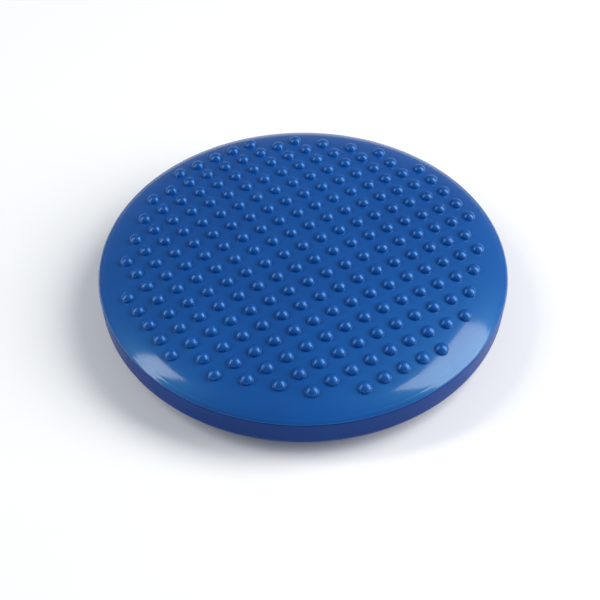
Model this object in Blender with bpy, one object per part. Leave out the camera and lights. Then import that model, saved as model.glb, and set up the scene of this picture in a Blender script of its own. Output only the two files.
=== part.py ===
"""Air-filled balance disc: a soft round cushion to stand or sit on, which rocks under the user.

The bladder is built in the zones that move against each other: a nubbed top skin, a smooth border
band, a rolled rim ring, a side wall band and a base shell. A soft valve in the base shell's wall
is closed by a plug. Units are metres and +Z is up. The origin is on the floor under the centre.
"""
import math

import bmesh
import bpy
from mathutils import Matrix, Vector

# Overall sizes and the rocking motion
DISC_RADIUS = 0.165
SKIN = 0.0035               # thickness of the bladder
TILT_LIMIT = math.radians(3)    # how far the top rocks on the base, each way
TILT_CLEARANCE = 0.001      # left between the rim and the base at full tilt
JOINT_GAP = 0.0005          # between neighbouring pieces
TURN_STEPS = 60             # facets around the disc

# Dome of the top skin: its rise above the shoulder plane falls off as a square, as a fourth power
# and, in the border only, as a high power that turns the skin down towards the rim
DOME_RISE = 0.0214
DOME_ROUND = 0.0115
DOME_EDGE = 0.0055
BORDER_FALL = 0.0037
BORDER_POWER = 20
SHOULDER_ROLL = 0.0040      # outer radius of the rim's roll
SHOULDER_LIFT = 0.0015      # shoulder plane above the centre of that roll

# Base: a flat resting face, a rising skin and a rounded corner
REST_RADIUS = 0.095
BASE_RISE = 0.0126          # how far the rising skin would climb by the disc's edge
WALL_TAPER = 0.001          # the wall leans in by this much at the corner
CORNER_ROLL = 0.008

# Where the bladder is divided into its zones
BORDER_WIDTH = 0.0185       # smooth border, from the last nub's centre line to the edge
PANEL_MARGIN = 0.0014       # top skin beyond the foot of the last nub
RIM_WIDTH = 0.006           # rolled rim, measured in from the edge
RIM_SKIRT = 0.0018          # rim ring below the centre of its roll

# Nubs: a square grid turned about the disc's centre
NUB_PITCH = 0.0175
NUB_TURN = math.radians(32.2)
NUB_FOOT_RADIUS = 0.0058
NUB_SHOULDER_RADIUS = 0.0043
NUB_SHOULDER_HEIGHT = 0.0034
NUB_CROWN = 0.0016          # apex above the nub's shoulder
NUB_ROOT = 0.0010           # depth of the foot inside the skin
NUB_SIDES = 6

# Valve: a flanged sleeve in a boss at the back, closed by a plug
VALVE_BORE = 0.0022
VALVE_CLEARANCE = 0.0004
VALVE_WALL = 0.0018         # sleeve wall around the bore
SLEEVE_LENGTH = 0.015
FLANGE_LIP = 0.0015         # flange beyond the sleeve
FLANGE_THICKNESS = 0.0012
FLANGE_INSET = 0.0002       # flange's outer face inside the disc's edge
BOSS_MARGIN = 0.0008        # boss face around the flange
BOSS_LENGTH = 0.012
VALVE_DROP = 0.0013         # valve axis below the corner's centre
PLUG_HEAD_LIP = 0.0009      # head beyond the shank
PLUG_HEAD_THICKNESS = 0.0013
PLUG_LENGTH = 0.013
PLUG_TIP = 0.0015           # length of the tapered end
VALVE_SIDES = 20
SLEEVE_RADIUS = VALVE_BORE + VALVE_WALL
FLANGE_RADIUS = SLEEVE_RADIUS + FLANGE_LIP
BOSS_RADIUS = FLANGE_RADIUS + BOSS_MARGIN
PLUG_RADIUS = VALVE_BORE - VALVE_CLEARANCE
HEAD_RADIUS = PLUG_RADIUS + PLUG_HEAD_LIP
FLANGE_FACE = DISC_RADIUS - FLANGE_INSET
BOSS_FACE = FLANGE_FACE - FLANGE_THICKNESS

MERGE = 0.00001


def dome_fall(radius):
    """How far the top skin has fallen below its apex at this radius."""
    share = radius / DISC_RADIUS
    border = BORDER_FALL * share ** BORDER_POWER
    return DOME_ROUND * share ** 2 + DOME_EDGE * share ** 4 + border


def dome_slope(radius):
    """Downward angle of the top skin at this radius."""
    share = radius / DISC_RADIUS
    border = BORDER_POWER * BORDER_FALL * share ** (BORDER_POWER - 1)
    return math.atan((2 * DOME_ROUND * share + 4 * DOME_EDGE * share ** 3 + border) / DISC_RADIUS)


def base_height(radius):
    """Height of the base's underside at this radius."""
    share = max(0.0, radius - REST_RADIUS) / (DISC_RADIUS - REST_RADIUS)
    return BASE_RISE * share ** 2


def base_slope(radius):
    """Upward angle of the base's underside at this radius."""
    share = max(0.0, radius - REST_RADIUS) / (DISC_RADIUS - REST_RADIUS)
    return math.atan(2 * BASE_RISE * share / (DISC_RADIUS - REST_RADIUS))


def tangent_radius(edge_radius, roll, slope):
    """Radius where a roll that reaches edge_radius leaves a surface of the given slope."""
    radius = edge_radius - roll
    for _ in range(12):
        radius = edge_radius - roll * (1 - math.sin(slope(radius)))
    return radius


CORNER_EDGE = DISC_RADIUS - WALL_TAPER
CORNER_START = tangent_radius(CORNER_EDGE, CORNER_ROLL, base_slope)
CORNER_HEIGHT = base_height(CORNER_START) + CORNER_ROLL * math.cos(base_slope(CORNER_START))
VALVE_HEIGHT = CORNER_HEIGHT - VALVE_DROP
BASE_TOP = VALVE_HEIGHT + BOSS_RADIUS + VALVE_CLEARANCE
RIM_BOTTOM = BASE_TOP + DISC_RADIUS * math.sin(TILT_LIMIT) + TILT_CLEARANCE
ROLL_HEIGHT = RIM_BOTTOM + RIM_SKIRT
SHOULDER_HEIGHT = ROLL_HEIGHT + SHOULDER_LIFT
APEX_HEIGHT = SHOULDER_HEIGHT + DOME_RISE
SHOULDER_START = tangent_radius(DISC_RADIUS, SHOULDER_ROLL, dome_slope)

FIELD_RADIUS = DISC_RADIUS - BORDER_WIDTH
PANEL_RADIUS = FIELD_RADIUS + NUB_FOOT_RADIUS + PANEL_MARGIN
RIM_INNER = DISC_RADIUS - RIM_WIDTH


def dome_line(inner, outer, steps):
    """Points along the top skin's outer face, from one radius to another."""
    radii = [inner + (outer - inner) * step / steps for step in range(steps + 1)]
    return [(radius, APEX_HEIGHT - dome_fall(radius)) for radius in radii]


def beneath_dome(points):
    """The inner face under points of the top skin's outer face, square to that face."""
    moved = []
    for radius, height in points:
        slope = dome_slope(radius)
        moved.append((radius - SKIN * math.sin(slope), height - SKIN * math.cos(slope)))
    return moved


def arc_line(centre, radius, start, end, steps):
    """Points along an arc in the radius-height plane, angles measured up from outward."""
    angles = [start + (end - start) * step / steps for step in range(steps + 1)]
    return [(centre[0] + radius * math.cos(angle), centre[1] + radius * math.sin(angle))
            for angle in angles]


def wall_point(height):
    """Point on the tapered wall's outer face at this height."""
    share = (ROLL_HEIGHT - height) / (ROLL_HEIGHT - CORNER_HEIGHT)
    return (DISC_RADIUS - WALL_TAPER * share, height)


def shoulder_line():
    """The roll from the dome's edge down to the top of the wall."""
    centre = (DISC_RADIUS - SHOULDER_ROLL, ROLL_HEIGHT)
    top = math.pi / 2 - dome_slope(SHOULDER_START)
    return arc_line(centre, SHOULDER_ROLL, top, 0.0, 5)


def base_line():
    """The rounded corner and the rising underside, from the wall in to the middle."""
    centre = (CORNER_EDGE - CORNER_ROLL, CORNER_HEIGHT)
    end = base_slope(CORNER_START) - math.pi / 2
    corner = arc_line(centre, CORNER_ROLL, 0.0, end, 5)
    steps = 4
    run = CORNER_START - REST_RADIUS
    radii = [CORNER_START - run * step / steps for step in range(1, steps + 1)]
    rising = [(radius, base_height(radius)) for radius in radii]
    return corner + rising + [(0.0, 0.0)]


def inset_line(points, depth):
    """The line moved square to itself by depth, to the right of its direction of travel."""
    moved = []
    for index, point in enumerate(points):
        before = points[max(index - 1, 0)]
        after = points[min(index + 1, len(points) - 1)]
        run = Vector((after[0] - before[0], after[1] - before[1])).normalized()
        moved.append((max(point[0] + run.y * depth, 0.0), point[1] - run.x * depth))
    return moved


def turned_mesh(name, outline):
    """A closed outline in the radius-height plane, turned once around the disc's axis."""
    mesh = bpy.data.meshes.new(name)
    bm = bmesh.new()
    verts = [bm.verts.new((radius, 0.0, height)) for radius, height in outline]
    edges = [bm.edges.new((verts[i - 1], verts[i])) for i in range(len(verts))
             if verts[i - 1].co.x > MERGE or verts[i].co.x > MERGE]
    bmesh.ops.spin(bm, geom=verts + edges, axis=(0, 0, 1), cent=(0, 0, 0),
                   steps=TURN_STEPS, angle=2 * math.pi, use_merge=True)
    bmesh.ops.remove_doubles(bm, verts=bm.verts[:], dist=MERGE)
    bmesh.ops.recalc_face_normals(bm, faces=bm.faces[:])
    bm.to_mesh(mesh)
    bm.free()
    return mesh


def material(name, colour, roughness):
    """A plain plastic material."""
    made = bpy.data.materials.new(name)
    made.use_nodes = True
    shader = made.node_tree.nodes["Principled BSDF"]
    shader.inputs["Base Color"].default_value = (*colour, 1.0)
    shader.inputs["Roughness"].default_value = roughness
    shader.inputs["Metallic"].default_value = 0.0
    return made


def add_piece(name, mesh, surface, location=(0, 0, 0)):
    """An object for one piece, shaded smooth between its sharp edges."""
    mesh.shade_smooth()
    mesh.set_sharp_from_angle(angle=math.radians(35))
    mesh.materials.append(surface)
    piece = bpy.data.objects.new(name, mesh)
    piece.location = location
    bpy.context.collection.objects.link(piece)
    return piece


def add_tool(name, mesh, location=(0, 0, 0)):
    """A shape that only cuts or adds to a piece."""
    tool = bpy.data.objects.new(name, mesh)
    tool.location = location
    tool.hide_render = True
    tool.display_type = "WIRE"
    bpy.context.collection.objects.link(tool)
    return tool


def combine(piece, tool, operation):
    """Join the tool to the piece, or cut it away."""
    step = piece.modifiers.new(tool.name, "BOOLEAN")
    step.operation = operation
    step.solver = "EXACT"
    step.object = tool


def nub_centres():
    """Plan positions of the nubs: grid points whose centre lies inside the border."""
    reach = int(FIELD_RADIUS / NUB_PITCH) + 1
    for row in range(-reach, reach + 1):
        for column in range(-reach, reach + 1):
            centre = Matrix.Rotation(NUB_TURN, 2) @ Vector((column, row)) * NUB_PITCH
            if centre.length <= FIELD_RADIUS:
                yield centre


def nub_frame(centre):
    """Placement of a nub: its foot on the skin and its axis square to it."""
    radius = centre.length
    slope = dome_slope(radius)
    outward = centre.normalized() if radius > MERGE else Vector((1.0, 0.0))
    normal = Vector((*(outward * math.sin(slope)), math.cos(slope)))
    turn = Vector((0, 0, 1)).rotation_difference(normal).to_matrix().to_4x4()
    foot = Vector((centre.x, centre.y, APEX_HEIGHT - dome_fall(radius)))
    return Matrix.Translation(foot) @ turn


def nub_field_mesh():
    """Every nub as a small tapered cap, rooted in the skin."""
    mesh = bpy.data.meshes.new("nub_field")
    bm = bmesh.new()
    depth = NUB_ROOT + NUB_SHOULDER_HEIGHT
    lift = Matrix.Translation((0, 0, depth / 2 - NUB_ROOT))
    for centre in nub_centres():
        frame = nub_frame(centre) @ lift
        made = bmesh.ops.create_cone(bm, cap_ends=True, segments=NUB_SIDES,
                                     radius1=NUB_FOOT_RADIUS, radius2=NUB_SHOULDER_RADIUS,
                                     depth=depth, matrix=frame)
        faces = {face for vert in made["verts"] for face in vert.link_faces}
        caps = [face for face in faces if len(face.verts) == NUB_SIDES]
        top = max(caps, key=lambda face: face.calc_center_median().z)
        bmesh.ops.poke(bm, faces=[top], offset=NUB_CROWN)
    bm.to_mesh(mesh)
    bm.free()
    return mesh


def add_top_skin(surface):
    """The domed skin that the user stands on, with its nubs."""
    outer = dome_line(0.0, PANEL_RADIUS, 7)
    inner = beneath_dome(dome_line(0.0, PANEL_RADIUS, 5))
    mesh = turned_mesh("top_skin", outer + inner[::-1])
    piece = add_piece("top_skin", mesh, surface)
    combine(piece, add_tool("nub_field", nub_field_mesh()), "UNION")


def add_border_band(surface):
    """The smooth flexible border between the nubbed skin and the rim."""
    outer = dome_line(PANEL_RADIUS + JOINT_GAP, RIM_INNER - JOINT_GAP, 3)
    mesh = turned_mesh("border_band", outer + beneath_dome(outer)[::-1])
    add_piece("border_band", mesh, surface)


def add_rim_ring(surface):
    """The rolled rim, solid behind its roll."""
    inner_edge = (RIM_INNER, APEX_HEIGHT - dome_fall(RIM_INNER))
    outer = [inner_edge] + shoulder_line() + [wall_point(RIM_BOTTOM)]
    skirt = inset_line(outer, SKIN)[-1]
    mesh = turned_mesh("rim_ring", outer + [skirt] + beneath_dome([inner_edge]))
    add_piece("rim_ring", mesh, surface)


def add_wall_band(surface):
    """The flexible side wall between the rim and the base shell."""
    outer = [wall_point(RIM_BOTTOM - JOINT_GAP), wall_point(BASE_TOP + JOINT_GAP)]
    mesh = turned_mesh("wall_band", outer + inset_line(outer, SKIN)[::-1])
    add_piece("wall_band", mesh, surface)


def along_valve(outline):
    """A closed outline of (distance from the axis, depth behind the edge), turned about +Y."""
    mesh = bpy.data.meshes.new("valve_shape")
    bm = bmesh.new()
    verts = [bm.verts.new((radius, DISC_RADIUS - depth, 0.0)) for radius, depth in outline]
    edges = [bm.edges.new((verts[i - 1], verts[i])) for i in range(len(verts))
             if verts[i - 1].co.x > MERGE or verts[i].co.x > MERGE]
    bmesh.ops.spin(bm, geom=verts + edges, axis=(0, 1, 0), cent=(0, 0, 0),
                   steps=VALVE_SIDES, angle=2 * math.pi, use_merge=True)
    bmesh.ops.remove_doubles(bm, verts=bm.verts[:], dist=MERGE)
    bmesh.ops.recalc_face_normals(bm, faces=bm.faces[:])
    bm.to_mesh(mesh)
    bm.free()
    return mesh


def rod_outline(radius, outer_depth, inner_depth):
    """Outline of a plain round rod between two depths."""
    return [(0.0, outer_depth), (radius, outer_depth), (radius, inner_depth), (0.0, inner_depth)]


def add_base_shell(surface):
    """The base: resting face, rising skin, corner and lower wall, with the valve's boss."""
    outer = [wall_point(BASE_TOP)] + base_line()
    mesh = turned_mesh("base_shell", outer + inset_line(outer, SKIN)[::-1])
    piece = add_piece("base_shell", mesh, surface)
    face_depth = DISC_RADIUS - BOSS_FACE
    axis = (0.0, 0.0, VALVE_HEIGHT)
    boss = rod_outline(BOSS_RADIUS, face_depth, face_depth + BOSS_LENGTH)
    combine(piece, add_tool("valve_boss", along_valve(boss), axis), "UNION")
    seat_radius = FLANGE_RADIUS + VALVE_CLEARANCE
    hole_radius = SLEEVE_RADIUS + VALVE_CLEARANCE
    inside = face_depth + SLEEVE_LENGTH + BOSS_LENGTH
    hole = [(0.0, -SLEEVE_LENGTH), (seat_radius, -SLEEVE_LENGTH), (seat_radius, face_depth),
            (hole_radius, face_depth), (hole_radius, inside), (0.0, inside)]
    combine(piece, add_tool("valve_hole", along_valve(hole), axis), "DIFFERENCE")


def add_valve_seat(surface):
    """The soft sleeve that the pump's needle goes through, with a recess for the plug's head."""
    face = FLANGE_INSET
    back = face + FLANGE_THICKNESS - JOINT_GAP
    end = face + SLEEVE_LENGTH
    recess_radius = HEAD_RADIUS + VALVE_CLEARANCE
    recess_floor = face + PLUG_HEAD_THICKNESS + VALVE_CLEARANCE
    outline = [(recess_radius, face), (FLANGE_RADIUS, face), (FLANGE_RADIUS, back),
               (SLEEVE_RADIUS, back), (SLEEVE_RADIUS, end), (VALVE_BORE, end),
               (VALVE_BORE, recess_floor), (recess_radius, recess_floor)]
    add_piece("valve_seat", along_valve(outline), surface, (0.0, 0.0, VALVE_HEIGHT))


def add_valve_plug(surface):
    """The plug, flush with the flange when it is pushed home."""
    face = FLANGE_INSET
    neck = face + PLUG_HEAD_THICKNESS
    end = face + PLUG_LENGTH
    outline = [(0.0, face), (HEAD_RADIUS, face), (HEAD_RADIUS, neck), (PLUG_RADIUS, neck),
               (PLUG_RADIUS, end - PLUG_TIP), (PLUG_RADIUS / 2, end), (0.0, end)]
    add_piece("valve_plug", along_valve(outline), surface, (0.0, 0.0, VALVE_HEIGHT))


def build():
    """Empty the scene and make the disc."""
    for old in list(bpy.data.objects):
        bpy.data.objects.remove(old)
    blue = (0.012, 0.085, 0.37)
    add_top_skin(material("top_skin", blue, 0.22))
    add_border_band(material("border_band", blue, 0.2))
    add_rim_ring(material("rim_ring", (0.011, 0.078, 0.34), 0.2))
    add_wall_band(material("wall_band", (0.01, 0.07, 0.31), 0.25))
    add_base_shell(material("base_shell", (0.01, 0.07, 0.31), 0.3))
    add_valve_seat(material("valve_seat", (0.014, 0.09, 0.33), 0.35))
    add_valve_plug(material("valve_plug", (0.02, 0.03, 0.08), 0.4))


build()
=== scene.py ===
"""Looks of the air-filled balance disc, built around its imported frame. Metres, +Z up."""
import math

import bmesh
import bpy
from mathutils import Euler, Matrix, Vector


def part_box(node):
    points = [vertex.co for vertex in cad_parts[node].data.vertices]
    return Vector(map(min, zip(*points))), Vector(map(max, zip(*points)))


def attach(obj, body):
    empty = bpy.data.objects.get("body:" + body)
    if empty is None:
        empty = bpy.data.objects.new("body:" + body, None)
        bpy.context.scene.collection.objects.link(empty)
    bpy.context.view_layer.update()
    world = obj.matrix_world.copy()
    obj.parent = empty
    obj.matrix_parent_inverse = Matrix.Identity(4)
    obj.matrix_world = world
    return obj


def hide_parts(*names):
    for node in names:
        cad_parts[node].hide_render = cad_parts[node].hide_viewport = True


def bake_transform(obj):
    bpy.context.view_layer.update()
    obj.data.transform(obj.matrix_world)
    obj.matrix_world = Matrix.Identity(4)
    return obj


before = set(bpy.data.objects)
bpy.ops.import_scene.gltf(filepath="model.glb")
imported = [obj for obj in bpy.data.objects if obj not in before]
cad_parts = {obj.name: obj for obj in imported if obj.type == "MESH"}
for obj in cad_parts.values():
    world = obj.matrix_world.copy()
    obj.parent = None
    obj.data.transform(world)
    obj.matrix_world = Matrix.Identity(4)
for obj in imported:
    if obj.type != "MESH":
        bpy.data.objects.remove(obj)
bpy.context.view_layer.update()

# Places read from the frame
rim_low, rim_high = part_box("rim_ring")
skin_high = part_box("top_skin")[1]
seat_low, seat_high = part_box("valve_seat")
plug_low, plug_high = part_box("valve_plug")

# Dome of the top skin, as the frame's own
FRAME_NUB_HEIGHT = 0.0050
DOME_ROUND = 0.0115
DOME_EDGE = 0.0055
BORDER_FALL = 0.0037
BORDER_POWER = 20
SKIN = 0.0035
SHOULDER_ROLL = 0.0040
RIM_SKIRT = 0.0018
DISC_RADIUS = rim_high.x
APEX_HEIGHT = skin_high.z - FRAME_NUB_HEIGHT
ROLL_HEIGHT = rim_low.z + RIM_SKIRT
PARTING_ANGLE = math.radians(20)    # where the top moulding meets the side, up the shoulder's roll

# Shallow groove just inside the rolled rim
GROOVE_RADIUS = 0.1612
GROOVE_DEPTH = 0.00012
GROOVE_WIDTH = 0.0007

# Base
REST_RADIUS = 0.095
BASE_RISE = 0.0126
WALL_TAPER = 0.001
CORNER_ROLL = 0.008
TREAD_RADII = (0.030, 0.055, 0.080)   # grip grooves in the resting face
TREAD_DEPTH = 0.0008
TREAD_WIDTH = 0.0022
TURN_STEPS = 192
FIELD_STEPS = 50            # rings under the nubs
BORDER_STEPS = 36           # rings across the smooth border
FIELD_END = 0.150
BORDER_START = 0.151        # where the skin begins to bend between the rim and the top

# Nubs
NUB_PITCH = 0.0175
NUB_TURN = math.radians(32.2)
FIELD_RADIUS = 0.1465
NUB_SIDES = 12
NUB_RINGS = (74, 58, 42, 26, 10)    # degrees up from the foot
NUB_HEIGHT = 0.0047
NUB_RADIUS = 0.0054
NUB_FULLNESS = 2.25         # 2 would be an ellipse; more gives a flatter top and steeper sides
NUB_FLARE = 0.0002          # how far the foot spreads where it meets the skin
NUB_ROOT = 0.0004           # depth of the foot below the skin
NUB_CREASE = 70             # degrees past which an edge stays sharp

# Valve, turned about an axis along +Y
VALVE_HEIGHT = (seat_low.z + seat_high.z) / 2
FLANGE_RADIUS = (seat_high.z - seat_low.z) / 2
HEAD_RADIUS = (plug_high.z - plug_low.z) / 2
VALVE_FACE = seat_high.y
SLEEVE_END = seat_low.y
PLUG_END = plug_low.y
VALVE_SIDES = 48
BORE = 0.0022
SLEEVE_RADIUS = 0.0040
FLANGE_BACK = 0.0011
RECESS_DEPTH = 0.0016
HOLE_RADIUS = 0.0060
BOSS_RADIUS = 0.0069
BOSS_INSET = 0.0003         # boss face inside the seat's face
BOSS_LIP = 0.0007
BOSS_DRAFT = 0.0005         # the boss widens by this much towards its root
BOSS_DEPTH = 0.006          # of that root behind the boss's face
FLANGE_GAP = 0.00015        # around the seat's flange, in the boss
SLEEVE_GAP = 0.0003         # around the seat's sleeve, in the boss
SEAT_LIP = 0.0004
SEAT_RING = 0.0042          # radius of the raised ring on the seat's face
HEAD_GAP = 0.0003           # around the plug's head, in the seat
HEAD_LIP = 0.0004
HEAD_THICKNESS = 0.0013
HEAD_DISH = ((0.0, 0.0006), (0.0009, 0.0005), (0.0015, 0.0001), (0.0018, 0.0))  # radius, depth
SHANK_GAP = 0.0004          # around the plug's shank, in the bore
RIB_PLACES = (0.003, 0.0055, 0.008)     # behind the plug's head
RIB_HEIGHT = 0.0002
RIB_WIDTH = 0.0003
TIP_LENGTH = 0.0015
CHAMFER = 0.0002
LIP_STEPS = 4
VALVE_CREASE = 40           # degrees past which an edge stays sharp
SKIN_CREASE = 50

MERGE = 0.00001

# Finishes: colours are linear, and depths are in metres
TOP_BLUES = (0.0025, 0.06, 0.28), (0.003, 0.072, 0.32)
# Side wall and underside: the top's blue PVC made darker, painted shade for a wall that faces away
# from the softboxes
SIDE_BLUES_PAINTED_SHADE = (0.0003, 0.028, 0.18), (0.0004, 0.034, 0.21)
SEAT_BLUES = (0.006, 0.05, 0.22), (0.01, 0.07, 0.28)
PLUG_BLUES = (0.012, 0.016, 0.04), (0.02, 0.026, 0.06)
DUST_BLUE = (0.25, 0.4, 0.7)
FLOOR_GREY = (0.95, 0.95, 0.95)
PEEL_DEPTH = 0.00003
NUB_PEEL_DEPTH = 0.000002
GRAIN_DEPTH = 0.00003
CROWN_START = 0.86          # share of a nub's height above which its crown is rubbed

# Studio
FLOOR_SIZE = 12.0
SURROUND_COLOUR = (0.8, 0.9, 1.0)
SURROUND_STRENGTH = 0.22
CAMERA_ELEVATION = math.radians(46.74)
CAMERA_ROLL = math.radians(-0.27)
CAMERA_DISTANCE = 1.0909
CAMERA_TARGET = Vector((-0.0026, -0.0394, ROLL_HEIGHT + 0.0015))
CAMERA_LENS = 82.9          # millimetres, on a film 36 wide
CAMERA_FILM = 36.0


def dome_fall(radius):
    """How far the top skin has fallen below its apex at this radius."""
    share = radius / DISC_RADIUS
    border = BORDER_FALL * share ** BORDER_POWER
    return DOME_ROUND * share ** 2 + DOME_EDGE * share ** 4 + border


def dome_slope(radius):
    """Downward angle of the top skin at this radius."""
    share = radius / DISC_RADIUS
    border = BORDER_POWER * BORDER_FALL * share ** (BORDER_POWER - 1)
    return math.atan((2 * DOME_ROUND * share + 4 * DOME_EDGE * share ** 3 + border) / DISC_RADIUS)


def base_height(radius):
    """Height of the underside at this radius, before its grooves."""
    share = max(0.0, radius - REST_RADIUS) / (DISC_RADIUS - REST_RADIUS)
    return BASE_RISE * share ** 2


def base_slope(radius):
    """Upward angle of the underside at this radius."""
    share = max(0.0, radius - REST_RADIUS) / (DISC_RADIUS - REST_RADIUS)
    return math.atan(2 * BASE_RISE * share / (DISC_RADIUS - REST_RADIUS))


def tangent_radius(edge_radius, roll, slope):
    """Radius where a roll that reaches edge_radius leaves a surface of the given slope."""
    radius = edge_radius - roll
    for _ in range(12):
        radius = edge_radius - roll * (1 - math.sin(slope(radius)))
    return radius


def spread(start, end, steps):
    """Evenly spaced values from start to end, both included."""
    return [start + (end - start) * step / steps for step in range(steps + 1)]


def arc(centre, radius, start, end, steps):
    """Points along an arc in the radius-height plane, angles measured up from outward."""
    return [(centre[0] + radius * math.cos(angle), centre[1] + radius * math.sin(angle))
            for angle in spread(start, end, steps)]


def dip(radius, centre, width, depth):
    """A smooth round groove's depth at this radius."""
    return depth * math.exp(-((radius - centre) / width) ** 2)


def top_line():
    """The top skin from its apex over the border and shoulder to the parting line."""
    start = tangent_radius(DISC_RADIUS, SHOULDER_ROLL, dome_slope)
    radii = spread(0.0, FIELD_END, FIELD_STEPS)[:-1]
    radii += spread(FIELD_END, start, BORDER_STEPS)[:-1]
    dome = [(radius, APEX_HEIGHT - dome_fall(radius)
             - dip(radius, GROOVE_RADIUS, GROOVE_WIDTH, GROOVE_DEPTH)) for radius in radii]
    centre = (DISC_RADIUS - SHOULDER_ROLL, ROLL_HEIGHT)
    return dome + arc(centre, SHOULDER_ROLL, math.pi / 2 - dome_slope(start), PARTING_ANGLE, 12)


def tread_radii():
    """Radii along the resting face, closer together across each grip groove."""
    radii = [REST_RADIUS]
    for tread in reversed(TREAD_RADII):
        radii += spread(radii[-1], tread + TREAD_WIDTH, 4)[1:]
        radii += spread(tread + TREAD_WIDTH, tread - TREAD_WIDTH, 12)[1:]
    return radii + spread(radii[-1], 0.0, 5)[1:]


def base_line():
    """The side wall, corner and underside from the parting line in to the middle."""
    edge = DISC_RADIUS - WALL_TAPER
    start = tangent_radius(edge, CORNER_ROLL, base_slope)
    corner_height = base_height(start) + CORNER_ROLL * math.cos(base_slope(start))
    roll = arc((DISC_RADIUS - SHOULDER_ROLL, ROLL_HEIGHT), SHOULDER_ROLL, PARTING_ANGLE, 0.0, 4)
    wall = [(DISC_RADIUS - WALL_TAPER * share, ROLL_HEIGHT + (corner_height - ROLL_HEIGHT) * share)
            for share in spread(0.0, 1.0, 16)[1:-1]]
    corner = arc((edge - CORNER_ROLL, corner_height), CORNER_ROLL, 0.0,
                 base_slope(start) - math.pi / 2, 12)
    radii = spread(start, REST_RADIUS, 20)[1:-1] + tread_radii()
    under = [(radius, base_height(radius) + sum(dip(radius, tread, TREAD_WIDTH / 2, TREAD_DEPTH)
                                                for tread in TREAD_RADII)) for radius in radii]
    return roll + wall + corner + under


def spun_bmesh(profile, steps, upright=True):
    """A profile of (distance from the axis, place along it), turned once around +Z or +Y."""
    bm = bmesh.new()
    verts = [bm.verts.new((across, 0.0, along) if upright else (across, along, 0.0))
             for across, along in profile]
    edges = [bm.edges.new(pair) for pair in zip(verts, verts[1:])]
    bmesh.ops.spin(bm, geom=verts + edges, axis=(0, 0, 1) if upright else (0, 1, 0),
                   cent=(0, 0, 0), steps=steps, angle=2 * math.pi, use_merge=True)
    bmesh.ops.remove_doubles(bm, verts=bm.verts[:], dist=MERGE)
    bmesh.ops.recalc_face_normals(bm, faces=bm.faces[:])
    return bm


def finished(bm, name, sharp=None):
    """A shown object from a bmesh, shaded smooth."""
    mesh = bpy.data.meshes.new(name)
    bm.to_mesh(mesh)
    bm.free()
    mesh.shade_smooth()
    if sharp:
        mesh.set_sharp_from_angle(angle=math.radians(sharp))
    piece = bpy.data.objects.new(name, mesh)
    bpy.context.collection.objects.link(piece)
    return piece


def thicken(piece):
    """The bladder's wall, added on the inside."""
    wall = piece.modifiers.new("skin", "SOLIDIFY")
    wall.thickness = SKIN
    wall.offset = -1.0
    wall.use_even_offset = True


def face_out(bm, height):
    """Turn an open skin over unless its face nearest this height's end looks away from inside."""
    bm.normal_update()
    pick = max if height > 0 else min
    end = pick(bm.faces, key=lambda face: face.calc_center_median().z)
    if end.normal.z * height < 0:
        bmesh.ops.reverse_faces(bm, faces=bm.faces[:])


def make_upper_skin():
    """The domed top with its smooth border and rolled shoulder."""
    bm = spun_bmesh(top_line(), TURN_STEPS)
    face_out(bm, 1)
    piece = finished(bm, "upper_skin")
    thicken(piece)
    return piece


def make_lower_skin():
    """The side wall and underside, with the hole for the valve."""
    bm = spun_bmesh(base_line(), TURN_STEPS)
    face_out(bm, -1)
    piece = finished(bm, "lower_skin")
    thicken(piece)
    rod = [(0.0, DISC_RADIUS * 1.1), (HOLE_RADIUS, DISC_RADIUS * 1.1),
           (HOLE_RADIUS, SLEEVE_END), (0.0, SLEEVE_END)]
    cutter = along_valve(rod, "valve_hole")
    hole = piece.modifiers.new("valve_hole", "BOOLEAN")
    hole.operation = "DIFFERENCE"
    hole.solver = "EXACT"
    hole.object = cutter
    settled = piece.evaluated_get(bpy.context.evaluated_depsgraph_get())
    mesh = bpy.data.meshes.new_from_object(settled)
    piece.modifiers.clear()
    piece.data = mesh
    mesh.set_sharp_from_angle(angle=math.radians(SKIN_CREASE))
    bpy.data.objects.remove(cutter)
    return piece


def nub_profile():
    """Half outline of a nub from its apex down to its foot inside the skin."""
    power = 2 / NUB_FULLNESS
    cap = [(NUB_RADIUS * math.cos(angle) ** power, NUB_HEIGHT * math.sin(angle) ** power)
           for angle in (math.radians(degrees) for degrees in NUB_RINGS)]
    return [(0.0, NUB_HEIGHT)] + cap + [(NUB_RADIUS + NUB_FLARE, -NUB_ROOT)]


def nub_centres():
    """Plan positions of the nubs: a square grid turned about the middle, inside the border."""
    reach = int(FIELD_RADIUS / NUB_PITCH) + 1
    for row in range(-reach, reach + 1):
        for column in range(-reach, reach + 1):
            centre = Matrix.Rotation(NUB_TURN, 2) @ Vector((column, row)) * NUB_PITCH
            if centre.length <= FIELD_RADIUS:
                yield centre


def nub_frame(centre):
    """Placement of a nub: its foot on the skin and its axis square to it."""
    radius = centre.length
    slope = dome_slope(radius)
    outward = centre.normalized() if radius > MERGE else Vector((1.0, 0.0))
    normal = Vector((*(outward * math.sin(slope)), math.cos(slope)))
    turn = Vector((0, 0, 1)).rotation_difference(normal).to_matrix().to_4x4()
    return Matrix.Translation((centre.x, centre.y, APEX_HEIGHT - dome_fall(radius))) @ turn


def make_nubs():
    """Every nub of the top skin, each vertex knowing how high up its nub it is."""
    single = bpy.data.meshes.new("nub")
    bm = spun_bmesh(nub_profile(), NUB_SIDES)
    bmesh.ops.holes_fill(bm, edges=[edge for edge in bm.edges if edge.is_boundary], sides=0)
    bmesh.ops.recalc_face_normals(bm, faces=bm.faces[:])
    rise = bm.verts.layers.float.new("rise")
    for vert in bm.verts:
        vert[rise] = max(0.0, vert.co.z / NUB_HEIGHT)
    bm.to_mesh(single)
    bm.free()
    field = bmesh.new()
    for centre in nub_centres():
        copy = single.copy()
        copy.transform(nub_frame(centre))
        field.from_mesh(copy)
        bpy.data.meshes.remove(copy)
    bpy.data.meshes.remove(single)
    return finished(field, "nubs", sharp=NUB_CREASE)


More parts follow.
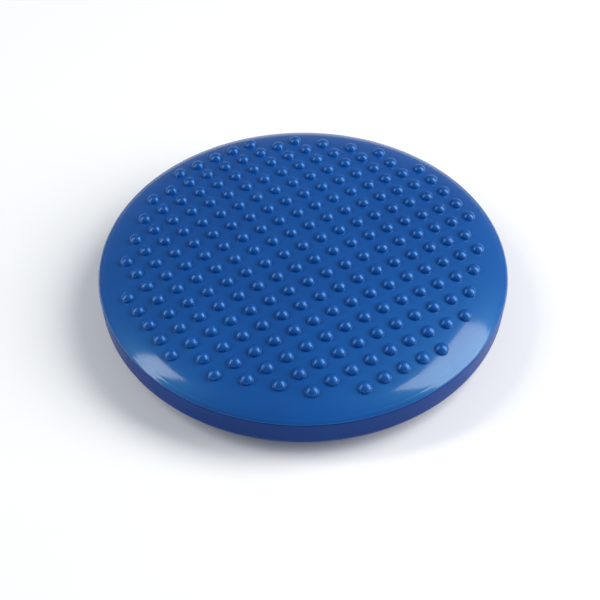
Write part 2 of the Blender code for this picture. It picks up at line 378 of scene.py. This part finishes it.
def along_valve(outline, name):
    """A closed piece turned about the valve's axis, from (distance from it, place along +Y)."""
    bm = spun_bmesh(outline, VALVE_SIDES, upright=False)
    bmesh.ops.translate(bm, verts=bm.verts[:], vec=(0.0, 0.0, VALVE_HEIGHT))
    return finished(bm, name, sharp=VALVE_CREASE)


def lip(outer, face, radius):
    """A quarter-round from a flat face out to a round side, both at the lip's outside."""
    centre = (outer - radius, face - radius)
    return arc(centre, radius, math.pi / 2, 0.0, LIP_STEPS)


def make_valve_boss():
    """The moulded collar that carries the valve through the rounded corner."""
    face = VALVE_FACE - BOSS_INSET
    inner = FLANGE_RADIUS + FLANGE_GAP
    bore = SLEEVE_RADIUS + SLEEVE_GAP
    step = VALVE_FACE - FLANGE_BACK
    end = SLEEVE_END + 0.001
    outline = [(inner, step), (inner, face - CHAMFER), (inner + CHAMFER, face)]
    outline += lip(BOSS_RADIUS, face, BOSS_LIP)
    outline += [(BOSS_RADIUS + BOSS_DRAFT / 5, face - BOSS_DEPTH / 2)]
    outline += [(BOSS_RADIUS + BOSS_DRAFT, face - BOSS_DEPTH)]
    outline += [(BOSS_RADIUS, end), (bore, end), (bore, step), (inner, step)]
    return along_valve(outline, "valve_boss")


def make_valve_seat():
    """The soft seat: a flange with a raised ring, a recess for the plug's head, and the bore."""
    back = VALVE_FACE - FLANGE_BACK + 0.0001
    face = VALVE_FACE - 0.0001
    recess = HEAD_RADIUS + HEAD_GAP
    floor = VALVE_FACE - RECESS_DEPTH
    outline = [(BORE, SLEEVE_END), (BORE, floor - CHAMFER), (BORE + CHAMFER, floor)]
    outline += [(recess - 0.0001, floor), (recess, floor + 0.0001)]
    outline += [(recess, face - CHAMFER), (recess + HEAD_GAP, face)]
    outline += arc((SEAT_RING, face), SEAT_LIP, math.pi, 0.0, 6)
    outline += lip(FLANGE_RADIUS, face, SEAT_LIP)
    outline += [(FLANGE_RADIUS, back), (SLEEVE_RADIUS, back)]
    outline += [(SLEEVE_RADIUS, SLEEVE_END + SEAT_LIP), (SLEEVE_RADIUS - SEAT_LIP, SLEEVE_END)]
    outline += [(BORE, SLEEVE_END)]
    return along_valve(outline, "valve_seat_detail")


def make_valve_plug():
    """The plug: a dished head, a ribbed shank and a tapered end."""
    shank = BORE - SHANK_GAP
    neck = VALVE_FACE - HEAD_THICKNESS
    outline = [(across, VALVE_FACE - depth) for across, depth in HEAD_DISH]
    outline += lip(HEAD_RADIUS, VALVE_FACE, HEAD_LIP)
    outline += [(HEAD_RADIUS, neck), (shank, neck)]
    for place in RIB_PLACES:
        rib = neck - place
        outline += [(shank, rib + RIB_WIDTH), (shank + RIB_HEIGHT, rib), (shank, rib - RIB_WIDTH)]
    outline += [(shank, PLUG_END + TIP_LENGTH), (shank / 2, PLUG_END), (0.0, PLUG_END)]
    return along_valve(outline, "valve_plug_detail")


class Value:
    """A socket that Python's arithmetic turns into Math nodes."""

    def __init__(self, finish, socket):
        self.finish = finish
        self.socket = socket

    def maths(self, operation, first, second):
        """One Math node on these values."""
        return self.finish.node("ShaderNodeMath", {"operation": operation}, {0: first, 1: second})

    def __add__(self, other):
        return self.maths("ADD", self, other)

    def __sub__(self, other):
        return self.maths("SUBTRACT", self, other)

    def __rsub__(self, other):
        return self.maths("SUBTRACT", other, self)

    def __mul__(self, other):
        return self.maths("MULTIPLY", self, other)


class Finish:
    """A material under construction."""

    def __init__(self, name):
        self.material = bpy.data.materials.new(name)
        self.material.use_nodes = True
        self.tree = self.material.node_tree
        self.shader = self.tree.nodes["Principled BSDF"]
        self.place = self.node("ShaderNodeTexCoord", {}, {}, "Object")

    def node(self, kind, settings, inputs, output=0):
        """A node with its settings made first and its sockets set or linked; gives one output."""
        made = self.tree.nodes.new(kind)
        for name, value in settings.items():
            setattr(made, name, value)
        for name, value in inputs.items():
            self.feed(made.inputs[name], value)
        return Value(self, made.outputs[output])

    def feed(self, socket, value):
        """Link a value into a socket, or set a plain number or colour on it."""
        if isinstance(value, Value):
            self.tree.links.new(value.socket, socket)
        else:
            socket.default_value = value

    def set(self, **values):
        """Shader sockets by name, with underscores for spaces."""
        for name, value in values.items():
            self.feed(self.shader.inputs[name.replace("_", " ")], value)

    def noise(self, scale, detail=2.0, roughness=0.5, stretch=(1.0, 1.0, 1.0)):
        """Noise over the object's own coordinates, from 0 to 1."""
        place = self.node("ShaderNodeMapping", {}, {"Vector": self.place, "Scale": stretch})
        inputs = {"Vector": place, "Scale": scale, "Detail": detail, "Roughness": roughness}
        return self.node("ShaderNodeTexNoise", {"noise_dimensions": "3D"}, inputs)

    def ramp(self, value, low, high):
        """0 below low, 1 above high, smooth between."""
        return self.node("ShaderNodeMapRange", {"interpolation_type": "SMOOTHSTEP", "clamp": True},
                         {"Value": value, "From Min": low, "From Max": high})

    def mix(self, factor, first, second):
        """A colour between two, by factor."""
        settings = {"data_type": "RGBA", "blend_type": "MIX"}
        return self.node("ShaderNodeMix", settings, {0: factor, 6: first, 7: second}, 2)

    def bump(self, height, distance):
        """A normal from a height of 0 to 1 that stands for a depth in metres."""
        return self.node("ShaderNodeBump", {}, {"Height": height, "Distance": distance,
                                                "Strength": 1.0})

    def attribute(self, name):
        """A number that the mesh carries at each vertex."""
        return self.node("ShaderNodeAttribute", {"attribute_name": name}, {}, "Fac")


def colour(rgb):
    """A colour with full alpha."""
    return (*rgb, 1.0)


def blue_pvc(name, blues, satin, sheen, gloss, polish, peel_depth, tint):
    """Blue PVC with clouds of tone, dust, rubbed patches and a fine orange peel.

    satin, sheen and tint are the broad lobe's roughness, strength and colour.
    gloss and polish are the clear top lobe's weight and roughness.
    """
    finish = Finish(name)
    deep, light = map(colour, blues)
    cloud = finish.ramp(finish.noise(11.0, 3.0), 0.3, 0.7)
    dust = finish.ramp(finish.noise(900.0), 0.64, 0.8)
    hairs = finish.ramp(finish.noise(60.0, 3.0, 0.6, (1.0, 9.0, 1.0)), 0.6, 0.72)
    rubbed = finish.ramp(finish.noise(38.0, 4.0, 0.6), 0.5, 0.75)
    crown = finish.ramp(finish.attribute("rise"), CROWN_START, 1.0)
    pale = dust * 0.05 + crown * rubbed * 0.05
    tone = finish.mix(pale, finish.mix(cloud, deep, light), colour(DUST_BLUE))
    peel = finish.noise(240.0) * 0.7 + finish.noise(800.0) * 0.3
    finish.set(Base_Color=tone, Roughness=rubbed * 0.05 + hairs * 0.04 + satin,
               Normal=finish.bump(peel, peel_depth), IOR=1.5, Specular_IOR_Level=sheen,
               Specular_Tint=colour(tint), Coat_Roughness=polish,
               Coat_Weight=gloss - rubbed * gloss * 0.15 - dust * gloss * 0.2)
    return finish.material


def soft_rubber(name, blues, roughness):
    """Satin rubber with a fine grain and paler rubbed spots."""
    finish = Finish(name)
    deep, light = map(colour, blues)
    grain = finish.noise(2600.0, 3.0)
    rubbed = finish.ramp(finish.noise(420.0, 3.0), 0.52, 0.72)
    finish.set(Base_Color=finish.mix(rubbed, deep, light), Roughness=rubbed * -0.1 + roughness,
               Normal=finish.bump(grain, GRAIN_DEPTH))
    return finish.material


def make_floor():
    """Plain pale floor."""
    bm = bmesh.new()
    bmesh.ops.create_grid(bm, x_segments=1, y_segments=1, size=FLOOR_SIZE)
    floor = finished(bm, "floor")
    finish = Finish("pale_floor")
    finish.set(Base_Color=colour(FLOOR_GREY), Roughness=0.9, Specular_IOR_Level=0.2)
    floor.data.materials.append(finish.material)


def softbox(name, place, size, roll, power):
    """A rectangular softbox at this place, facing the disc, its first size front to back."""
    lamp = bpy.data.lights.new(name, "AREA")
    lamp.shape = "RECTANGLE"
    lamp.size, lamp.size_y = size
    lamp.energy = power
    box = bpy.data.objects.new(name, lamp)
    facing = Vector((place[0], 0.0, place[2])).normalized()
    across = Vector((0.0, 1.0, 0.0))
    turn = Matrix((across, facing.cross(across), facing)).transposed().to_4x4()
    box.matrix_world = Matrix.Translation(place) @ turn @ Matrix.Rotation(roll, 4, "Z")
    bpy.context.collection.objects.link(box)


def light_studio():
    """Two side softboxes in a dim surround."""
    world = bpy.data.worlds.new("surround")
    world.use_nodes = True
    background = world.node_tree.nodes["Background"]
    background.inputs["Color"].default_value = colour(SURROUND_COLOUR)
    background.inputs["Strength"].default_value = SURROUND_STRENGTH
    bpy.context.scene.world = world
    softbox("right_softbox", (1.86, 0.0, 1.38), (1.25, 2.85), math.radians(-30), 74.0)
    softbox("left_softbox", (-2.06, -0.18, 1.32), (0.52, 3.0), math.radians(28), 38.0)


def place_camera():
    """The camera that looks down on the disc from the front."""
    lens = bpy.data.cameras.new("camera")
    lens.lens = CAMERA_LENS
    lens.sensor_width = CAMERA_FILM
    camera = bpy.data.objects.new("camera", lens)
    back = Vector((0.0, -math.cos(CAMERA_ELEVATION), math.sin(CAMERA_ELEVATION)))
    turn = Euler((math.pi / 2 - CAMERA_ELEVATION, 0.0, 0.0)).to_matrix().to_4x4()
    place = Matrix.Translation(CAMERA_TARGET + back * CAMERA_DISTANCE)
    camera.matrix_world = place @ turn @ Matrix.Rotation(CAMERA_ROLL, 4, "Z")
    bpy.context.collection.objects.link(camera)
    bpy.context.scene.camera = camera
    bpy.context.scene.view_settings.view_transform = "Standard"


def dress(piece, finish):
    """Give a piece its finish."""
    piece.data.materials.clear()
    piece.data.materials.append(finish)


place_camera()
light_studio()
make_floor()

upper_skin = make_upper_skin()
nubs = make_nubs()
lower_skin = make_lower_skin()
valve_boss = make_valve_boss()
valve_seat = make_valve_seat()
valve_plug = make_valve_plug()
dress(upper_skin, blue_pvc("glossy_pvc", TOP_BLUES, 0.4, 0.5, 0.62, 0.1, PEEL_DEPTH,
                          (0.2, 0.85, 1.0)))
dress(nubs, blue_pvc("nub_pvc", TOP_BLUES, 0.32, 1.0, 0.0, 0.3, NUB_PEEL_DEPTH,
                     (0.3, 0.65, 1.0)))
# The side PVC's darker blues are painted shade on the wall, not a second colour of plastic
dress(lower_skin, blue_pvc("side_pvc_painted_shade", SIDE_BLUES_PAINTED_SHADE, 0.35, 0.14, 0.0, 0.2, PEEL_DEPTH,
                           (0.2, 0.7, 1.0)))
dress(valve_boss, lower_skin.data.materials[0])
dress(valve_seat, soft_rubber("seat_rubber", SEAT_BLUES, 0.42))
dress(valve_plug, soft_rubber("plug_rubber", PLUG_BLUES, 0.5))

border_inner = APEX_HEIGHT - dome_fall(BORDER_START)
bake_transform(upper_skin)
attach(nubs, "top")
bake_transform(lower_skin)
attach(valve_boss, "base")
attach(valve_seat, "base")
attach(valve_plug, "plug")
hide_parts("top_skin", "border_band", "rim_ring")
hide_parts("base_shell", "wall_band")
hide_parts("valve_seat")
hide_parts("valve_plug")
